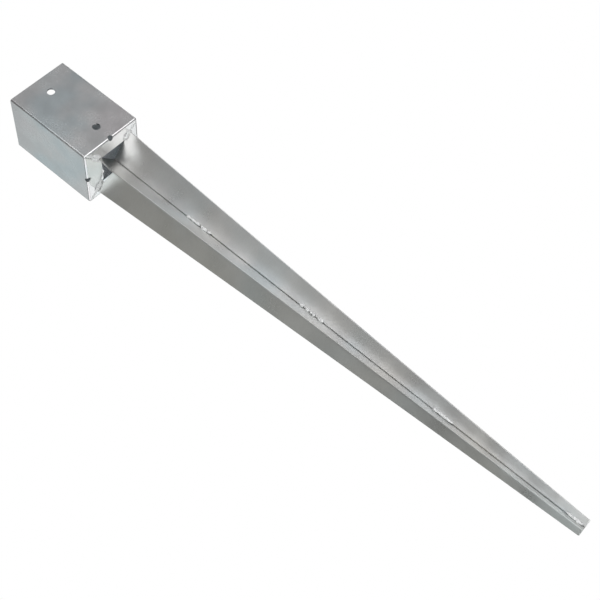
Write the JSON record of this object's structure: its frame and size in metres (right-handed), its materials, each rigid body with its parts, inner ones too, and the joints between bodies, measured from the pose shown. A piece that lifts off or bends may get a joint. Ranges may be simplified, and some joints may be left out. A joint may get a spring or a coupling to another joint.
{
  "type": "post anchor spike",
  "caption": "Folded steel socket for a square post, welded on a four-bladed tapering spike that is driven in the ground.",
  "frame": {"origin": "middle of the underside of the socket's foot, on the spike's axis: the ground line of a driven spike", "axes": "+Z along the spike's axis, from the tip towards the socket's open end; +Y from the front wall to the back wall, which are the two walls with bolt holes; +X from the left wall to the right wall; the blades lie on the socket's diagonals"},
  "size_m": [0.094, 0.094, 0.9],
  "materials": {
    "socket_zinc": "bright zinc coating, satin, with faint cloudy tints",
    "spike_zinc": "bright zinc coating, satin, with fine cross grain",
    "weld_bead": "rippled weld metal under the zinc coating"
  },
  "bodies": {
    "root": {"socket_sleeve": "socket_zinc", "spike_angle_left": "spike_zinc", "spike_angle_right": "spike_zinc", "weld_back_left_blade_to_back_flap": "weld_bead", "weld_back_left_blade_to_left_flap": "weld_bead", "weld_back_right_blade_to_back_flap": "weld_bead", "weld_back_right_blade_to_right_flap": "weld_bead", "weld_front_left_blade_to_front_flap": "weld_bead", "weld_front_left_blade_to_left_flap": "weld_bead", "weld_front_right_blade_to_front_flap": "weld_bead", "weld_front_right_blade_to_right_flap": "weld_bead", "weld_mitre_back_left": "weld_bead", "weld_mitre_back_right": "weld_bead", "weld_mitre_front_left": "weld_bead", "weld_mitre_front_right": "weld_bead", "weld_stitch_back_1": "weld_bead", "weld_stitch_back_2": "weld_bead", "weld_stitch_back_3": "weld_bead", "weld_stitch_front_1": "weld_bead", "weld_stitch_front_2": "weld_bead", "weld_stitch_front_3": "weld_bead", "weld_tip_back": "weld_bead", "weld_tip_front": "weld_bead"}
  },
  "joints": []
}
